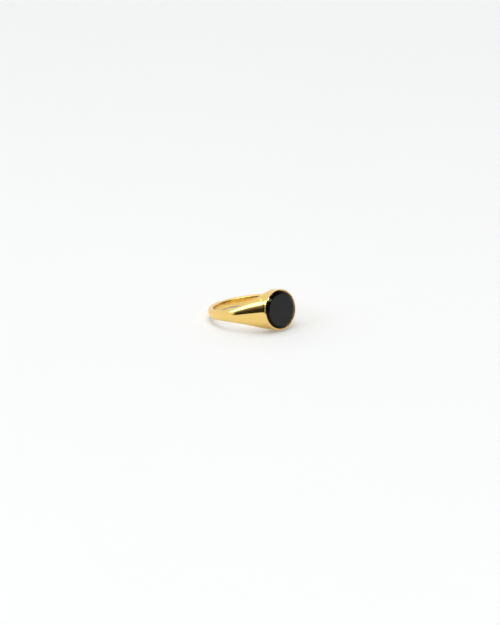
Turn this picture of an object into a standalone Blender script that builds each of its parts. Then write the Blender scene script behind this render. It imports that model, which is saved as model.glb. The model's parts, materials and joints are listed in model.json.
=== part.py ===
"""Gold signet ring with a flat black onyx tablet.

The ring is shaped in its own frame, in millimetres: the origin is the centre of the finger
hole, +X points to the head and +Z runs along the finger. An empty then lays it on its side,
where the rim of the head and the back of the shank touch the table.
"""

import math

import bmesh
import bpy
import numpy as np

MM = 0.001

# Finger hole and shank
BORE_RADIUS = 8.65
BAND_THICKNESS = 1.30
BACK_HALF_WIDTH = 1.05
SIDE_TAPER = 0.05
HEAD_FLARE = 3.70
FLARE_ANGLE = math.radians(47.0)
FLARE_FALL = 1.7
INNER_EDGE_BACK = 0.25
INNER_EDGE_HEAD = 0.50

# Shape of the section: rounded at the shoulders, squarer at the back
BACK_FALL = 1.3
SIDE_WALL_SHOULDER = 0.20
SIDE_WALL_BACK = 0.70
CROWN_EASE_SHOULDER = 0.45
CROWN_EASE_HEAD = 0.74
CROWN_EASE_BACK = 0.88
SIDE_EASE = 0.36

# Head
HEAD_HEIGHT = 11.30
RIM_RADIUS = 4.85
POCKET_RADIUS = 4.72
POCKET_DEPTH = 1.05

# Pieces in the pocket
JOINT_GAP = 0.02
COLLAR_RADIUS = POCKET_RADIUS - JOINT_GAP
COLLAR_BORE = 4.50
COLLAR_TOP = HEAD_HEIGHT - 0.03
COLLAR_INNER_TOP = HEAD_HEIGHT + 0.08
LEDGE_BORE = 3.90
LEDGE_HEIGHT = 0.25
STONE_RADIUS = COLLAR_BORE - JOINT_GAP
STONE_TABLE_RADIUS = 3.78
STONE_WALL_TOP = HEAD_HEIGHT + 0.04
STONE_TABLE = HEAD_HEIGHT + 0.45
STONE_BASE_CHAMFER = 0.12
CEMENT_RADIUS = LEDGE_BORE - 2.0 * JOINT_GAP

# Facets
HEAD_STEPS = 14
BAND_STEPS = 24
SECTION_STEPS = 9
EDGE_STEPS = 3
ROUND_STEPS = 4 * HEAD_STEPS
SMOOTH_ANGLE = math.radians(32.0)
HALVINGS = 48


def clear_scene():
    for item in list(bpy.data.objects):
        bpy.data.objects.remove(item, do_unlink=True)


class Skin:
    """Faces whose shared corners are welded by position."""

    def __init__(self):
        self.mesh = bmesh.new()
        self.corners = {}

    def corner(self, point):
        key = tuple(round(value, 6) + 0.0 for value in point)
        if key not in self.corners:
            self.corners[key] = self.mesh.verts.new([value * MM for value in point])
        return self.corners[key]

    def face(self, points):
        corners = []
        for point in points:
            corner = self.corner(point)
            if corner not in corners:
                corners.append(corner)
        if len(corners) > 2:
            self.mesh.faces.new(corners)

    def strip(self, first, second):
        """Faces between two rows of as many points."""
        for index in range(len(first) - 1):
            self.face([first[index], first[index + 1], second[index + 1], second[index]])

    def finish(self, name, material):
        bmesh.ops.recalc_face_normals(self.mesh, faces=self.mesh.faces)
        data = bpy.data.meshes.new(name)
        self.mesh.to_mesh(data)
        self.mesh.free()
        data.materials.append(material)
        data.shade_smooth()
        data.set_sharp_from_angle(angle=SMOOTH_ANGLE)
        piece = bpy.data.objects.new(name, data)
        bpy.context.collection.objects.link(piece)
        return piece


def metal(name, colour, roughness, metallic):
    material = bpy.data.materials.new(name)
    material.use_nodes = True
    shader = material.node_tree.nodes["Principled BSDF"]
    shader.inputs["Base Color"].default_value = (*colour, 1.0)
    shader.inputs["Roughness"].default_value = roughness
    shader.inputs["Metallic"].default_value = metallic
    return material


def flare(angle):
    """How much of the head's flare is left at an angle from the head: 1 at the head."""
    return math.exp(-((angle / FLARE_ANGLE) ** FLARE_FALL))


def half_width(angle):
    """Half the shank's width along the finger."""
    taper = SIDE_TAPER * (1.0 + math.cos(angle)) / 2.0
    return BACK_HALF_WIDTH + taper + HEAD_FLARE * flare(angle)


def back_share(angle):
    """How much of the back's squarer section is reached at an angle from the head: 1 at the back."""
    return ((1.0 - math.cos(angle)) / 2.0) ** BACK_FALL


def side_wall_share(angle):
    """How far out the section's widest place lies between the finger hole and the crown."""
    return SIDE_WALL_SHOULDER + (SIDE_WALL_BACK - SIDE_WALL_SHOULDER) * back_share(angle)


def crown_ease(angle):
    """How far the section stays level with its crown before it turns down to the side."""
    head = (CROWN_EASE_HEAD - CROWN_EASE_SHOULDER) * flare(angle)
    back = (CROWN_EASE_BACK - CROWN_EASE_SHOULDER) * back_share(angle)
    return CROWN_EASE_SHOULDER + head + back


def inner_edge(angle):
    """Size of the rounded edge between the shank's side and the finger hole."""
    return INNER_EDGE_BACK + (INNER_EDGE_HEAD - INNER_EDGE_BACK) * flare(angle)


BAND_RADIUS = BORE_RADIUS + BAND_THICKNESS
RIM_ANGLE = math.atan2(RIM_RADIUS, HEAD_HEIGHT)
TANGENT_ANGLE = RIM_ANGLE + math.acos(BAND_RADIUS / math.hypot(HEAD_HEIGHT, RIM_RADIUS))


def crown_radius(angle):
    """Outer radius along the shank's middle: a line from the rim that becomes the band's arc."""
    if angle >= TANGENT_ANGLE:
        return BAND_RADIUS
    return BAND_RADIUS / math.cos(TANGENT_ANGLE - angle)


def stations():
    """Pairs of an angle from the head, and the place on the rim or None beyond the rim."""
    rows = []
    for step in range(HEAD_STEPS + 1):
        rim_place = math.radians(90.0) * (1.0 - step / HEAD_STEPS)
        rows.append((math.atan2(RIM_RADIUS * math.cos(rim_place), HEAD_HEIGHT), rim_place))
    for step in range(1, BAND_STEPS + 1):
        rows.append((RIM_ANGLE + (math.pi - RIM_ANGLE) * step / BAND_STEPS, None))
    return rows


def cubic(controls, share):
    """The point at that share of a curve with four control points."""
    rest = 1.0 - share
    weights = (rest**3, 3.0 * rest * rest * share, 3.0 * rest * share * share, share**3)
    return sum(weight * control for weight, control in zip(weights, controls))


def share_at_radius(controls, radius):
    """Where a section's curve, whose radius falls all the way, comes down to that radius."""
    low, high = 0.0, 1.0
    for _ in range(HALVINGS):
        middle = (low + high) / 2.0
        if cubic(controls, middle)[0] > radius:
            low = middle
        else:
            high = middle
    return low


def half_section(angle, rim_place):
    """Radius and height from the rim or the crown, over the side, down to the finger hole.

    At the head the shoulder's section is cut by the head's plane and eased out to the round rim.
    """
    crown = crown_radius(angle)
    top = crown if rim_place is None else HEAD_HEIGHT / math.cos(angle)
    side = BORE_RADIUS + side_wall_share(angle) * (top - BORE_RADIUS)
    width = half_width(angle)
    controls = (
        np.array([crown, 0.0]),
        np.array([crown, crown_ease(angle) * width]),
        np.array([side + SIDE_EASE * (crown - side), width]),
        np.array([side, width]),
    )
    first = 0.0
    outward = 0.0
    if rim_place is not None:
        first = share_at_radius(controls, top)
        outward = RIM_RADIUS * math.sin(rim_place) - cubic(controls, first)[1]
    points = []
    for step in range(SECTION_STEPS + 1):
        share = step / SECTION_STEPS
        point = cubic(controls, first + (1.0 - first) * share)
        points.append(point + np.array([0.0, outward * (1.0 - share) ** 2]))
    if rim_place is not None:
        points[0] = np.array([top, RIM_RADIUS * math.sin(rim_place)])
    edge = inner_edge(angle)
    for step in range(1, EDGE_STEPS + 1):
        turn = math.radians(90.0) * step / EDGE_STEPS
        radius = side - (side - BORE_RADIUS) * math.sin(turn)
        points.append(np.array([radius, width - edge * (1.0 - math.cos(turn))]))
    return points


def around_finger(angle, points, side, end):
    """Ring-frame points of a half section, mirrored by side (Y) and end (Z)."""
    cosine = math.cos(angle)
    sine = side * math.sin(angle)
    return [(radius * cosine, radius * sine, end * height) for radius, height in points]


def around_head(distance, radius):
    """A closed circle of points about the head's axis, in step with the rim."""
    circle = []
    for step in range(ROUND_STEPS + 1):
        turn = 2.0 * math.pi * (step % ROUND_STEPS) / ROUND_STEPS
        circle.append((distance, radius * math.cos(turn), radius * math.sin(turn)))
    return circle


def turn_profile(skin, profile):
    """Sweep (distance, radius) pairs about the head's axis."""
    circles = [around_head(distance, radius) for distance, radius in profile]
    for first, second in zip(circles, circles[1:]):
        skin.strip(first, second)


def close_disc(skin, distance, radius):
    skin.face(around_head(distance, radius)[:-1])


def shank(material):
    """Band, shoulders and head cast in one piece, with the setting's pocket in the head."""
    skin = Skin()
    rows = [(angle, half_section(angle, rim_place)) for angle, rim_place in stations()]
    for side in (1, -1):
        for end in (1, -1):
            sections = [around_finger(angle, points, side, end) for angle, points in rows]
            for first, second in zip(sections, sections[1:]):
                skin.strip(first, second)
        bore_top = [around_finger(angle, points, side, 1)[-1] for angle, points in rows]
        bore_bottom = [around_finger(angle, points, side, -1)[-1] for angle, points in rows]
        skin.strip(bore_top, bore_bottom)
    floor = HEAD_HEIGHT - POCKET_DEPTH
    turn_profile(skin, [(HEAD_HEIGHT, RIM_RADIUS), (HEAD_HEIGHT, POCKET_RADIUS), (floor, POCKET_RADIUS)])
    close_disc(skin, floor, POCKET_RADIUS)
    return skin.finish("shank", material)


def bezel_collar(material):
    """Thin turned collar: a wall around the tablet and a ledge under its edge."""
    base = HEAD_HEIGHT - POCKET_DEPTH + JOINT_GAP
    ledge = base + LEDGE_HEIGHT
    profile = [
        (base, LEDGE_BORE),
        (base, COLLAR_RADIUS),
        (COLLAR_TOP, COLLAR_RADIUS),
        (COLLAR_INNER_TOP, COLLAR_BORE),
        (ledge, COLLAR_BORE),
        (ledge, LEDGE_BORE),
        (base, LEDGE_BORE),
    ]
    skin = Skin()
    turn_profile(skin, profile)
    return skin.finish("bezel_collar", material)


def solid_disc(name, profile, material):
    """A turned solid that closes on its axis with a flat disc at each end."""
    skin = Skin()
    turn_profile(skin, profile)
    close_disc(skin, *profile[0])
    close_disc(skin, *profile[-1])
    return skin.finish(name, material)


def cement_bed(material):
    """Setting cement that fills the collar's bore under the tablet."""
    base = HEAD_HEIGHT - POCKET_DEPTH + JOINT_GAP
    top = base + LEDGE_HEIGHT
    return solid_disc("cement_bed", [(base, CEMENT_RADIUS), (top, CEMENT_RADIUS)], material)


def onyx_tablet(material):
    """Round tablet with an upright wall, a broad chamfer and a flat table."""
    base = HEAD_HEIGHT - POCKET_DEPTH + LEDGE_HEIGHT + 2.0 * JOINT_GAP
    profile = [
        (base, STONE_RADIUS - STONE_BASE_CHAMFER),
        (base + STONE_BASE_CHAMFER, STONE_RADIUS),
        (STONE_WALL_TOP, STONE_RADIUS),
        (STONE_TABLE, STONE_TABLE_RADIUS),
    ]
    return solid_disc("onyx_tablet", profile, material)


def resting_tilt(points):
    """Tilt at which the head and the back of the shank are equally low."""
    low = 0.0
    high = math.radians(30.0)
    for _ in range(HALVINGS):
        tilt = (low + high) / 2.0
        heights = points[:, 0] * math.sin(tilt) + points[:, 2] * math.cos(tilt)
        if heights[points[:, 0] > 0.0].min() < heights[points[:, 0] < 0.0].min():
            low = tilt
        else:
            high = tilt
    return (low + high) / 2.0


def lay_on_side(pieces):
    """Parent the pieces to an empty that rests them on z = 0, centred over the origin."""
    points = np.array([corner.co for piece in pieces for corner in piece.data.vertices])
    tilt = resting_tilt(points)
    along = points[:, 0] * math.cos(tilt) - points[:, 2] * math.sin(tilt)
    height = points[:, 0] * math.sin(tilt) + points[:, 2] * math.cos(tilt)
    pose = bpy.data.objects.new("resting_pose", None)
    bpy.context.collection.objects.link(pose)
    pose.location = (-(along.min() + along.max()) / 2.0, 0.0, -height.min())
    pose.rotation_euler = (0.0, -tilt, 0.0)
    for piece in pieces:
        piece.parent = pose


def main():
    clear_scene()
    gold = metal("polished_gold", (0.86, 0.58, 0.24), 0.12, 1.0)
    onyx = metal("black_onyx", (0.012, 0.012, 0.014), 0.06, 0.0)
    cement = metal("setting_cement", (0.32, 0.29, 0.24), 0.7, 0.0)
    pieces = [shank(gold), bezel_collar(gold), cement_bed(cement), onyx_tablet(onyx)]
    lay_on_side(pieces)


main()
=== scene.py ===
"""Looks of the signet ring: polished gold, black onyx, pale floor, soft studio light, camera.

Shapes are worked out in the ring's own frame, in millimetres: the origin is the centre of the
finger hole, +X points to the head and +Z runs along the finger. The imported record's two mounts
say where that frame lies, so every piece lands on the CAD piece that it stands for.
"""

import json
import math

import bmesh
import bpy
import numpy as np
from mathutils import Matrix, Vector


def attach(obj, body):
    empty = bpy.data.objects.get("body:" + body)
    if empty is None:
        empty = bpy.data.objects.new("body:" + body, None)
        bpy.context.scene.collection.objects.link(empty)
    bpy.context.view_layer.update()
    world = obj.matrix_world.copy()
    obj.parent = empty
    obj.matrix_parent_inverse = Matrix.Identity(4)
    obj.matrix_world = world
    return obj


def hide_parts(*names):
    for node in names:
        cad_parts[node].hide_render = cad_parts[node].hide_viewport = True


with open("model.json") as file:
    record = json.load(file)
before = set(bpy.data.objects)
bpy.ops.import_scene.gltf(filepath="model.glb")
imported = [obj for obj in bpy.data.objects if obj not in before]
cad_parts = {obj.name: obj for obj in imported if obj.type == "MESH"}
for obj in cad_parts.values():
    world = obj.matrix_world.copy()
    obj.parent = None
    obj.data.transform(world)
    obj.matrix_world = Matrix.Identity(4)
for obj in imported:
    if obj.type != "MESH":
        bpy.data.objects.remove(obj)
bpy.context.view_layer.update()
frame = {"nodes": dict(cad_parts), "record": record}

MM = 0.001

# Finger hole and shank, as in the CAD model
BORE_RADIUS = 8.65
BAND_THICKNESS = 1.30
BACK_HALF_WIDTH = 1.05
SIDE_TAPER = 0.05
HEAD_FLARE = 3.70
FLARE_ANGLE = math.radians(47.0)
FLARE_FALL = 1.7
INNER_EDGE_BACK = 0.25
INNER_EDGE_HEAD = 0.50

# Shape of the section: rounded at the shoulders, squarer at the back
BACK_FALL = 1.3
SIDE_WALL_SHOULDER = 0.20
SIDE_WALL_BACK = 0.70
CROWN_EASE_SHOULDER = 0.45
CROWN_EASE_HEAD = 0.74
CROWN_EASE_BACK = 0.88
SIDE_EASE = 0.36

# Head and setting, as in the CAD model
HEAD_HEIGHT = 11.30
RIM_RADIUS = 4.85
POCKET_RADIUS = 4.72
POCKET_DEPTH = 1.05
JOINT_GAP = 0.02
COLLAR_RADIUS = POCKET_RADIUS - JOINT_GAP
COLLAR_BORE = 4.50
COLLAR_TOP = HEAD_HEIGHT - 0.03
COLLAR_INNER_TOP = HEAD_HEIGHT + 0.08
LEDGE_BORE = 3.90
LEDGE_HEIGHT = 0.25
STONE_RADIUS = COLLAR_BORE - JOINT_GAP
STONE_TABLE_RADIUS = 3.78
STONE_WALL_TOP = HEAD_HEIGHT + 0.04
STONE_TABLE = HEAD_HEIGHT + 0.45
STONE_BASE_CHAMFER = 0.12

# Fineness of the meshes
HEAD_STEPS = 40
BAND_STEPS = 96
SECTION_STEPS = 28
EDGE_STEPS = 6
ROUND_STEPS = 4 * HEAD_STEPS
ARC_STEPS = 5
HALVINGS = 40
WELD_DIGITS = 6
QUARTER_TURN = math.radians(90.0)

# Softness of the edges
SMOOTH_ANGLE = math.radians(32.0)
RIM_SOFTNESS = 0.06
RIM_SEGMENTS = 3
COLLAR_EDGES = (0.03, 0.05, 0.04, 0.02, 0.04, 0.04)
TABLET_EDGES = (0.03, 0.03, 0.04, 0.04)
TABLET_DISC_SHARE = 0.98

# Polished gold: noises are (scale per millimetre, detail), bumps are in metres
GOLD_COLOURS = ((0.94, 0.67, 0.22), (0.92, 0.64, 0.20))
GOLD_ROUGHNESS = (0.055, 0.12)
GOLD_HAZE = (0.9, 3.0)
GOLD_RIPPLE = (0.55, 1.0)
GOLD_RIPPLE_BUMP = 2.5e-6
BUFFING_RUN_BODY = 3.0
BUFFING_RUN_COLLAR = 2.0
BUFFING_FINENESS = 9.0
BUFFING_LINES = (1.6, 4.0)
BUFFING_BUMP = 1.2e-7
GOLD_SCRATCHES = (5.0, 2.0)
GOLD_SCRATCH_CUT = (0.62, 0.72)
GOLD_SCRATCH_ROUGHNESS = 0.10
GOLD_SCRATCH_BUMP = -1.5e-7
BORE_ROUGHNESS = 0.18
BORE_WEAR_START = BORE_RADIUS + 0.02
BORE_WEAR_END = BORE_RADIUS + 0.12

# Black onyx, glossier on its flat table than on its chamfer
ONYX_COLOURS = ((0.003, 0.003, 0.0035), (0.007, 0.007, 0.008))
ONYX_REFRACTION = 1.54
ONYX_TABLE_GLOSS = 0.28
ONYX_CHAMFER_GLOSS = 0.10
ONYX_GLOSS_START = STONE_TABLE_RADIUS - 0.02
ONYX_GLOSS_END = STONE_TABLE_RADIUS + 0.10
ONYX_ROUGHNESS = (0.03, 0.09)
ONYX_HAZE = (1.3, 3.0)
ONYX_CLOUDS = (0.5, 4.0)
ONYX_CLOUD_TURN = (0.6, 0.0, 0.0)
ONYX_CLOUD_STRETCH = (1.0, 0.35, 1.6)
ONYX_CLOUD_CUT = (0.35, 0.75)
ONYX_SCRATCHES = (2.0, 2.0)
ONYX_SCRATCH_TURN = (0.9, 0.0, 0.0)
ONYX_SCRATCH_STRETCH = (1.0, 0.5, 14.0)
ONYX_SCRATCH_CUT = (0.66, 0.74)
ONYX_SCRATCH_ROUGHNESS = 0.12
ONYX_SCRATCH_BUMP = -8.0e-8

# Setting cement
CEMENT_COLOURS = ((0.24, 0.21, 0.17), (0.40, 0.37, 0.31))
CEMENT_GRAIN = (9.0, 5.0)
CEMENT_ROUGHNESS = (0.55, 0.85)
CEMENT_BUMP = 2.0e-5

# Floor: metres
FLOOR_HALF_SIZE = 1.5
FLOOR_COLOURS = ((0.61, 0.618, 0.613), (0.62, 0.628, 0.623))
FLOOR_GRAIN = (0.02, 2.0)
FLOOR_ROUGHNESS = 0.9
FLOOR_GLOSS = 0.2
FLOOR_GLOW = 0.22
FLOOR_GLOW_COLOUR = (1.0, 1.01, 1.005, 1.0)

# Camera, about the finger hole's centre: metres, and millimetres for the lens
CAMERA_AZIMUTH = math.radians(-41.6)
CAMERA_ELEVATION = math.radians(19.7)
CAMERA_DISTANCE = 0.480
CAMERA_LENS = 115.2
CAMERA_CLIP_START = 0.01
AIM_BELOW_HOLE = 0.00136
AIM_BESIDE_HOLE = 0.00023

# Lights and room: metres and watts
SOFTBOX_ELEVATION = math.radians(40.0)
SOFTBOX_AZIMUTH = math.radians(-106.0)
LIGHT_DISTANCE = 0.6
SOFTBOX_SIZE = (0.21, 0.24)
SOFTBOX_POWER = 0.48
FRONT_LIGHT_ELEVATION = math.radians(42.0)
FRONT_LIGHT_AZIMUTH = math.radians(-8.0)
FRONT_LIGHT_SIZE = (0.16, 0.06)
FRONT_LIGHT_POWER = 0.36
ROOM_WALL = (0.84, 0.84, 0.85)
ROOM_CEILING = (3.2, 3.2, 3.2)
ROOM_UNLIT = (0.022, 0.018, 0.014)
ROOM_STRENGTH = 1.1
UNLIT_LEFT_AZIMUTH = math.radians(2.0)
UNLIT_LEFT_ELEVATION = math.radians(7.0)
UNLIT_LEFT_SPREAD = (-0.12, 0.12)
UNLIT_RIGHT_AZIMUTH = math.radians(-25.0)
UNLIT_RIGHT_SPREAD = (-0.10, 0.10)
CEILING_HEIGHT = (0.87, 0.95)


def ring_matrix():
    """The ring's own frame in the row frame, read from the record's mounts."""
    mounts = {mount["name"]: mount for mount in frame["record"]["mounts"]}
    head_axis = Vector(mounts["stone_table"]["axis"]).normalized()
    finger_axis = Vector(mounts["finger"]["axis"]).normalized()
    across = finger_axis.cross(head_axis)
    matrix = Matrix((head_axis, across, finger_axis)).transposed().to_4x4()
    matrix.translation = Vector(mounts["finger"]["pos_m"])
    return matrix


# Shapes


class Skin:
    """Faces whose shared corners are welded by position."""

    def __init__(self):
        self.mesh = bmesh.new()
        self.corners = {}

    def corner(self, point):
        key = tuple(round(value, WELD_DIGITS) + 0.0 for value in point)
        if key not in self.corners:
            self.corners[key] = self.mesh.verts.new([value * MM for value in point])
        return self.corners[key]

    def face(self, points):
        corners = []
        for point in points:
            corner = self.corner(point)
            if corner not in corners:
                corners.append(corner)
        if len(corners) > 2:
            self.mesh.faces.new(corners)

    def strip(self, first, second):
        """Faces between two rows of as many points."""
        for index in range(len(first) - 1):
            self.face([first[index], first[index + 1], second[index + 1], second[index]])

    def finish(self, name, material):
        bmesh.ops.recalc_face_normals(self.mesh, faces=self.mesh.faces)
        data = bpy.data.meshes.new(name)
        self.mesh.to_mesh(data)
        self.mesh.free()
        data.materials.append(material)
        data.shade_smooth()
        data.set_sharp_from_angle(angle=SMOOTH_ANGLE)
        piece = bpy.data.objects.new(name, data)
        bpy.context.collection.objects.link(piece)
        piece.matrix_world = ring_matrix()
        return piece


def flare(angle):
    """How much of the head's flare is left at an angle from the head: 1 at the head."""
    return math.exp(-((angle / FLARE_ANGLE) ** FLARE_FALL))


def half_width(angle):
    """Half the shank's width along the finger."""
    taper = SIDE_TAPER * (1.0 + math.cos(angle)) / 2.0
    return BACK_HALF_WIDTH + taper + HEAD_FLARE * flare(angle)


def back_share(angle):
    """How much of the back's squarer section is reached at an angle from the head: 1 at the back."""
    return ((1.0 - math.cos(angle)) / 2.0) ** BACK_FALL


def side_wall_share(angle):
    """How far out the section's widest place lies between the finger hole and the crown."""
    return SIDE_WALL_SHOULDER + (SIDE_WALL_BACK - SIDE_WALL_SHOULDER) * back_share(angle)


def crown_ease(angle):
    """How far the section stays level with its crown before it turns down to the side."""
    head = (CROWN_EASE_HEAD - CROWN_EASE_SHOULDER) * flare(angle)
    back = (CROWN_EASE_BACK - CROWN_EASE_SHOULDER) * back_share(angle)
    return CROWN_EASE_SHOULDER + head + back


def inner_edge(angle):
    """Size of the rounded edge between the shank's side and the finger hole."""
    return INNER_EDGE_BACK + (INNER_EDGE_HEAD - INNER_EDGE_BACK) * flare(angle)


BAND_RADIUS = BORE_RADIUS + BAND_THICKNESS
RIM_ANGLE = math.atan2(RIM_RADIUS, HEAD_HEIGHT)
TANGENT_ANGLE = RIM_ANGLE + math.acos(BAND_RADIUS / math.hypot(HEAD_HEIGHT, RIM_RADIUS))


def crown_radius(angle):
    """Outer radius along the shank's middle: a line from the rim that becomes the band's arc."""
    if angle >= TANGENT_ANGLE:
        return BAND_RADIUS
    return BAND_RADIUS / math.cos(TANGENT_ANGLE - angle)


def stations():
    """Pairs of an angle from the head, and the place on the rim or None beyond the rim."""
    rows = []
    for step in range(HEAD_STEPS + 1):
        rim_place = QUARTER_TURN * (1.0 - step / HEAD_STEPS)
        rows.append((math.atan2(RIM_RADIUS * math.cos(rim_place), HEAD_HEIGHT), rim_place))
    for step in range(1, BAND_STEPS + 1):
        rows.append((RIM_ANGLE + (math.pi - RIM_ANGLE) * step / BAND_STEPS, None))
    return rows


def cubic(controls, share):
    """The point at that share of a curve with four control points."""
    rest = 1.0 - share
    weights = (rest**3, 3.0 * rest * rest * share, 3.0 * rest * share * share, share**3)
    return sum(weight * control for weight, control in zip(weights, controls))


def share_at_radius(controls, radius):
    """Where a section's curve, whose radius falls all the way, comes down to that radius."""
    low, high = 0.0, 1.0
    for _ in range(HALVINGS):
        middle = (low + high) / 2.0
        if cubic(controls, middle)[0] > radius:
            low = middle
        else:
            high = middle
    return low


def half_section(angle, rim_place):
    """Radius and height from the rim or the crown, over the side, down to the finger hole.

    At the head the shoulder's section is cut by the head's plane and eased out to the round rim.
    """
    crown = crown_radius(angle)
    top = crown if rim_place is None else HEAD_HEIGHT / math.cos(angle)
    width = half_width(angle)
    side = BORE_RADIUS + side_wall_share(angle) * (top - BORE_RADIUS)
    controls = (
        np.array([crown, 0.0]),
        np.array([crown, crown_ease(angle) * width]),
        np.array([side + SIDE_EASE * (crown - side), width]),
        np.array([side, width]),
    )
    first = 0.0
    outward = 0.0
    if rim_place is not None:
        first = share_at_radius(controls, top)
        outward = RIM_RADIUS * math.sin(rim_place) - cubic(controls, first)[1]
    points = []
    for step in range(SECTION_STEPS + 1):
        share = step / SECTION_STEPS
        point = cubic(controls, first + (1.0 - first) * share)
        points.append(point + np.array([0.0, outward * (1.0 - share) ** 2]))
    if rim_place is not None:
        points[0] = np.array([top, RIM_RADIUS * math.sin(rim_place)])
    edge = inner_edge(angle)
    for step in range(1, EDGE_STEPS + 1):
        turn = QUARTER_TURN * step / EDGE_STEPS
        radius = side - (side - BORE_RADIUS) * math.sin(turn)
        points.append(np.array([radius, width - edge * (1.0 - math.cos(turn))]))
    return points


def around_finger(angle, points, side, end):
    """Ring-frame points of a half section, mirrored by side (Y) and end (Z)."""
    cosine = math.cos(angle)
    sine = side * math.sin(angle)
    return [(radius * cosine, radius * sine, end * height) for radius, height in points]


def around_head(distance, radius):
    """A closed circle of points about the head's axis, in step with the rim."""
    circle = []
    for step in range(ROUND_STEPS + 1):
        turn = 2.0 * math.pi * (step % ROUND_STEPS) / ROUND_STEPS
        circle.append((distance, radius * math.cos(turn), radius * math.sin(turn)))
    return circle


def turn_profile(skin, profile):
    """Sweep (distance, radius) pairs about the head's axis."""
    circles = [around_head(distance, radius) for distance, radius in profile]
    for first, second in zip(circles, circles[1:]):
        skin.strip(first, second)


def close_disc(skin, distance, radius):
    skin.face(around_head(distance, radius)[:-1])


def soften(profile, sizes):
    """Swap each inner corner of an open outline for a curve that starts that far from it."""
    rounded = [profile[0]]
    for before, corner, after, size in zip(profile, profile[1:], profile[2:], sizes):
        corner = Vector(corner)
        start = corner + size * (Vector(before) - corner).normalized()
        end = corner + size * (Vector(after) - corner).normalized()
        for step in range(ARC_STEPS + 1):
            share = step / ARC_STEPS
            rest = 1.0 - share
            rounded.append(tuple(rest * rest * start + 2 * rest * share * corner + share * share * end))
    rounded.append(profile[-1])
    return rounded


def gold_body(material):
    """Shank, shoulders and head with the setting's pocket, in one polished piece."""
    skin = Skin()
    rows = [(angle, half_section(angle, rim_place)) for angle, rim_place in stations()]
    for side in (1, -1):
        for end in (1, -1):
            sections = [around_finger(angle, points, side, end) for angle, points in rows]
            for first, second in zip(sections, sections[1:]):
                skin.strip(first, second)
        bore_top = [around_finger(angle, points, side, 1)[-1] for angle, points in rows]
        bore_bottom = [around_finger(angle, points, side, -1)[-1] for angle, points in rows]
        skin.strip(bore_top, bore_bottom)
    pocket_floor = HEAD_HEIGHT - POCKET_DEPTH
    rim = (HEAD_HEIGHT, RIM_RADIUS)
    turn_profile(skin, [rim, (HEAD_HEIGHT, POCKET_RADIUS), (pocket_floor, POCKET_RADIUS)])
    close_disc(skin, pocket_floor, POCKET_RADIUS)
    piece = skin.finish("gold_body", material)
    bevel = piece.modifiers.new("rim_softness", "BEVEL")
    bevel.width = RIM_SOFTNESS * MM
    bevel.segments = RIM_SEGMENTS
    bevel.limit_method = "ANGLE"
    bevel.angle_limit = SMOOTH_ANGLE
    return piece


def gold_collar(material):
    """Turned collar: a wall around the tablet and a ledge under its edge."""
    base = HEAD_HEIGHT - POCKET_DEPTH + JOINT_GAP
    ledge = base + LEDGE_HEIGHT
    middle = (COLLAR_RADIUS + COLLAR_BORE) / 2.0
    outline = [
        (base, middle),
        (base, COLLAR_RADIUS),
        (COLLAR_TOP, COLLAR_RADIUS),
        (COLLAR_INNER_TOP, COLLAR_BORE),
        (ledge, COLLAR_BORE),
        (ledge, LEDGE_BORE),
        (base, LEDGE_BORE),
        (base, middle),
    ]
    skin = Skin()
    turn_profile(skin, soften(outline, COLLAR_EDGES))
    return skin.finish("gold_collar", material)


def black_tablet(material):
    """Polished round tablet with an upright wall, a broad chamfer and a flat disc at each end."""
    base = HEAD_HEIGHT - POCKET_DEPTH + LEDGE_HEIGHT + 2.0 * JOINT_GAP
    base_radius = STONE_RADIUS - STONE_BASE_CHAMFER
    outline = [
        (base, TABLET_DISC_SHARE * base_radius),
        (base, base_radius),
        (base + STONE_BASE_CHAMFER, STONE_RADIUS),
        (STONE_WALL_TOP, STONE_RADIUS),
        (STONE_TABLE, STONE_TABLE_RADIUS),
        (STONE_TABLE, TABLET_DISC_SHARE * STONE_TABLE_RADIUS),
    ]
    rounded = soften(outline, TABLET_EDGES)
    skin = Skin()
    turn_profile(skin, rounded)
    close_disc(skin, *rounded[0])
    close_disc(skin, *rounded[-1])
    return skin.finish("black_tablet", material)


# Materials


def add_node(tree, kind, inputs=(), **settings):
    """A shader node whose inputs are linked to sockets or hold plain values."""
    made = tree.nodes.new(kind)
    for key, value in settings.items():
        setattr(made, key, value)
    for key, value in dict(inputs).items():
        if isinstance(value, bpy.types.NodeSocket):
            tree.links.new(value, made.inputs[key])
        else:
            made.inputs[key].default_value = value
    return made


def mixed_colour(tree, share, first, second):
    """From first to second as share goes from 0 to 1, each a socket or plain red, green and blue."""
    made = add_node(tree, "ShaderNodeMix", {0: share}, data_type="RGBA")
    for socket, colour in ((6, first), (7, second)):
        if isinstance(colour, bpy.types.NodeSocket):
            tree.links.new(colour, made.inputs[socket])
        else:
            made.inputs[socket].default_value = (*colour, 1.0)
    return made.outputs[2]


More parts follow.
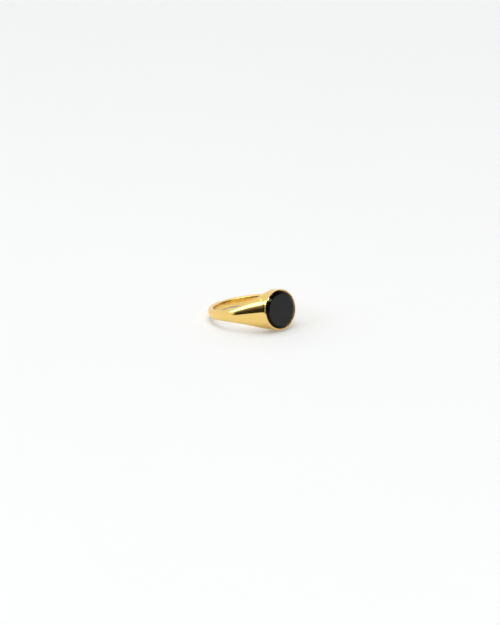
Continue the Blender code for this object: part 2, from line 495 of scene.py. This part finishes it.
class Finish:
    """A material on Blender's Principled shader, with its nodes reached by short calls."""

    def __init__(self, name):
        self.material = bpy.data.materials.new(name)
        self.material.use_nodes = True
        self.tree = self.material.node_tree
        self.surface = self.tree.nodes["Principled BSDF"]

    def node(self, kind, inputs=(), **settings):
        return add_node(self.tree, kind, inputs, **settings)

    def feed(self, socket, value):
        self.tree.links.new(value, self.surface.inputs[socket])

    def place(self):
        """The point in the piece's own frame, in millimetres."""
        where = self.node("ShaderNodeTexCoord").outputs["Object"]
        scaled = self.node("ShaderNodeVectorMath", {0: where, "Scale": 1.0 / MM}, operation="SCALE")
        return scaled.outputs[0]

    def coordinates(self, where):
        return self.node("ShaderNodeSeparateXYZ", {0: where}).outputs

    def math(self, operation, first, second=0.0):
        return self.node("ShaderNodeMath", {0: first, 1: second}, operation=operation).outputs[0]

    def distance(self, first, second):
        """Distance from the axis that stands across these two coordinates."""
        squares = [self.math("MULTIPLY", value, value) for value in (first, second)]
        return self.math("SQRT", self.math("ADD", *squares))

    def stretched(self, where, turn, stretch):
        settings = {"Vector": where, "Rotation": turn, "Scale": stretch}
        return self.node("ShaderNodeMapping", settings).outputs[0]

    def noise(self, where, scale, detail):
        settings = {"Vector": where, "Scale": scale, "Detail": detail}
        return self.node("ShaderNodeTexNoise", settings).outputs["Fac"]

    def spread(self, value, low, high, start=0.0, end=1.0):
        """Map start..end to low..high."""
        limits = {"Value": value, "From Min": start, "From Max": end, "To Min": low, "To Max": high}
        return self.node("ShaderNodeMapRange", limits).outputs["Result"]

    def colour(self, share, colours):
        """Colour the surface from the first to the second of two colours."""
        self.feed("Base Color", mixed_colour(self.tree, share, *colours))

    def bump(self, height, distance, normal=None):
        inputs = {"Height": height, "Strength": 1.0, "Distance": distance}
        if normal is not None:
            inputs["Normal"] = normal
        return self.node("ShaderNodeBump", inputs).outputs[0]


def polished_gold(name, around_finger_hole):
    """Mirror-polished yellow gold: buffing lines, hairline scratches and a hand-polished ripple.

    The lines run around the finger hole, with light wear inside it, or else around the head's axis.
    """
    finish = Finish(name)
    finish.surface.inputs["Metallic"].default_value = 1.0
    where = finish.place()
    x, y, z = finish.coordinates(where)
    if around_finger_hole:
        first, second, axis, run = x, y, z, BUFFING_RUN_BODY
    else:
        first, second, axis, run = y, z, x, BUFFING_RUN_COLLAR
    turn = finish.math("ARCTAN2", second, first)
    radius = finish.distance(first, second)
    around_axis = {
        0: finish.math("MULTIPLY", turn, run),
        1: finish.math("MULTIPLY", radius, BUFFING_FINENESS),
        2: finish.math("MULTIPLY", axis, BUFFING_FINENESS),
    }
    lanes = finish.node("ShaderNodeCombineXYZ", around_axis).outputs[0]
    haze = finish.noise(where, *GOLD_HAZE)
    scratches = finish.spread(finish.noise(lanes, *GOLD_SCRATCHES), 0.0, 1.0, *GOLD_SCRATCH_CUT)
    finish.colour(haze, GOLD_COLOURS)
    scratched = finish.math("MULTIPLY", scratches, GOLD_SCRATCH_ROUGHNESS)
    roughness = finish.math("ADD", finish.spread(haze, *GOLD_ROUGHNESS), scratched)
    if around_finger_hole:
        worn = finish.spread(radius, BORE_ROUGHNESS, 0.0, BORE_WEAR_START, BORE_WEAR_END)
        roughness = finish.math("ADD", roughness, worn)
    finish.feed("Roughness", roughness)
    waves = finish.bump(finish.noise(where, *GOLD_RIPPLE), GOLD_RIPPLE_BUMP)
    lines = finish.bump(finish.noise(lanes, *BUFFING_LINES), BUFFING_BUMP, waves)
    finish.feed("Normal", finish.bump(scratches, GOLD_SCRATCH_BUMP, lines))
    return finish.material


def black_onyx():
    """Polished onyx: near black with faint grey clouds, a soft haze and a few fine scratches."""
    finish = Finish("black_onyx_polished")
    finish.surface.inputs["IOR"].default_value = ONYX_REFRACTION
    where = finish.place()
    y, z = finish.coordinates(where)[1:]
    radius = finish.distance(y, z)
    gloss = (ONYX_TABLE_GLOSS, ONYX_CHAMFER_GLOSS, ONYX_GLOSS_START, ONYX_GLOSS_END)
    finish.feed("Specular IOR Level", finish.spread(radius, *gloss))
    cloudy = finish.stretched(where, ONYX_CLOUD_TURN, ONYX_CLOUD_STRETCH)
    clouds = finish.spread(finish.noise(cloudy, *ONYX_CLOUDS), 0.0, 1.0, *ONYX_CLOUD_CUT)
    finish.colour(clouds, ONYX_COLOURS)
    lanes = finish.stretched(where, ONYX_SCRATCH_TURN, ONYX_SCRATCH_STRETCH)
    scratches = finish.spread(finish.noise(lanes, *ONYX_SCRATCHES), 0.0, 1.0, *ONYX_SCRATCH_CUT)
    scratched = finish.math("MULTIPLY", scratches, ONYX_SCRATCH_ROUGHNESS)
    haze = finish.spread(finish.noise(where, *ONYX_HAZE), *ONYX_ROUGHNESS)
    finish.feed("Roughness", finish.math("ADD", haze, scratched))
    finish.feed("Normal", finish.bump(scratches, ONYX_SCRATCH_BUMP))
    return finish.material


def setting_cement():
    """Cured setting cement: dull, grainy and slightly uneven in colour."""
    finish = Finish("cured_cement")
    grain = finish.noise(finish.place(), *CEMENT_GRAIN)
    finish.colour(grain, CEMENT_COLOURS)
    finish.feed("Roughness", finish.spread(grain, *CEMENT_ROUGHNESS))
    finish.feed("Normal", finish.bump(grain, CEMENT_BUMP))
    return finish.material


def pale_floor():
    """Matt pale paper that gives off a little light of its own, so the ring's shadow stays soft."""
    finish = Finish("pale_floor")
    finish.colour(finish.noise(finish.place(), *FLOOR_GRAIN), FLOOR_COLOURS)
    finish.surface.inputs["Roughness"].default_value = FLOOR_ROUGHNESS
    finish.surface.inputs["Specular IOR Level"].default_value = FLOOR_GLOSS
    finish.surface.inputs["Emission Color"].default_value = FLOOR_GLOW_COLOUR
    finish.surface.inputs["Emission Strength"].default_value = FLOOR_GLOW
    return finish.material


# Studio


def direction(azimuth, elevation):
    flat = math.cos(elevation)
    return Vector((flat * math.cos(azimuth), flat * math.sin(azimuth), math.sin(elevation)))


def add_floor():
    reach = FLOOR_HALF_SIZE
    corners = [(-reach, -reach, 0.0), (reach, -reach, 0.0), (reach, reach, 0.0), (-reach, reach, 0.0)]
    data = bpy.data.meshes.new("floor")
    data.from_pydata(corners, [], [(0, 1, 2, 3)])
    data.materials.append(pale_floor())
    floor = bpy.data.objects.new("floor", data)
    bpy.context.collection.objects.link(floor)


def add_light(name, azimuth, elevation, size, power):
    lamp = bpy.data.lights.new(name, "AREA")
    lamp.shape = "RECTANGLE"
    lamp.size, lamp.size_y = size
    lamp.energy = power
    box = bpy.data.objects.new(name, lamp)
    bpy.context.collection.objects.link(box)
    toward = direction(azimuth, elevation)
    box.location = toward * LIGHT_DISTANCE
    box.rotation_euler = toward.to_track_quat("Z", "Y").to_euler()


def add_camera(hole_centre):
    lens = bpy.data.cameras.new("camera")
    lens.lens = CAMERA_LENS
    lens.clip_start = CAMERA_CLIP_START
    camera = bpy.data.objects.new("camera", lens)
    bpy.context.collection.objects.link(camera)
    toward = direction(CAMERA_AZIMUTH, CAMERA_ELEVATION)
    turn = toward.to_track_quat("Z", "Y")
    aim = hole_centre + turn @ Vector((AIM_BESIDE_HOLE, -AIM_BELOW_HOLE, 0.0))
    camera.location = aim + CAMERA_DISTANCE * toward
    camera.rotation_euler = turn.to_euler()
    bpy.context.scene.camera = camera


def add_room():
    """Pale walls all round and a bright ceiling, with an unlit part of the room between two planes."""
    world = bpy.data.worlds.new("room")
    world.use_nodes = True
    tree = world.node_tree
    tree.nodes.clear()
    ray = add_node(tree, "ShaderNodeTexCoord").outputs["Generated"]
    height = add_node(tree, "ShaderNodeSeparateXYZ", {0: ray}).outputs["Z"]

    def smooth(value, start, end):
        limits = {"Value": value, "From Min": start, "From Max": end}
        made = add_node(tree, "ShaderNodeMapRange", limits, interpolation_type="SMOOTHSTEP")
        return made.outputs["Result"]

    def beyond(azimuth, elevation, spread):
        """0 to 1 across the plane through the ring whose upper side looks that way."""
        inputs = {0: ray, 1: direction(azimuth, elevation)}
        side = add_node(tree, "ShaderNodeVectorMath", inputs, operation="DOT_PRODUCT")
        return smooth(side.outputs["Value"], *spread)

    left = beyond(UNLIT_LEFT_AZIMUTH, UNLIT_LEFT_ELEVATION, UNLIT_LEFT_SPREAD)
    right = beyond(UNLIT_RIGHT_AZIMUTH, 0.0, UNLIT_RIGHT_SPREAD)
    unlit = add_node(tree, "ShaderNodeMath", {0: left, 1: right}, operation="MULTIPLY").outputs[0]
    walls = mixed_colour(tree, unlit, ROOM_WALL, ROOM_UNLIT)
    whole = mixed_colour(tree, smooth(height, *CEILING_HEIGHT), walls, ROOM_CEILING)
    background = add_node(tree, "ShaderNodeBackground", {"Color": whole, "Strength": ROOM_STRENGTH})
    output = add_node(tree, "ShaderNodeOutputWorld")
    tree.links.new(background.outputs[0], output.inputs[0])
    bpy.context.scene.world = world


def main():
    body = gold_body(polished_gold("shank_gold", around_finger_hole=True))
    collar = gold_collar(polished_gold("collar_gold", around_finger_hole=False))
    tablet = black_tablet(black_onyx())
    for piece, node, slot in (
        (body, "shank", "polished_gold"),
        (collar, "bezel_collar", "bezel_gold"),
        (tablet, "onyx_tablet", "black_onyx"),
    ):
        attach(piece, "root")
        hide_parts(node)
    cement = frame["nodes"]["cement_bed"]
    cement.data.materials.clear()
    cement.data.materials.append(setting_cement())
    add_floor()
    add_light("softbox", SOFTBOX_AZIMUTH, SOFTBOX_ELEVATION, SOFTBOX_SIZE, SOFTBOX_POWER)
    front = (FRONT_LIGHT_AZIMUTH, FRONT_LIGHT_ELEVATION, FRONT_LIGHT_SIZE, FRONT_LIGHT_POWER)
    add_light("front_light", *front)
    add_room()
    add_camera(ring_matrix().translation)
    bpy.context.scene.view_settings.view_transform = "Standard"


main()
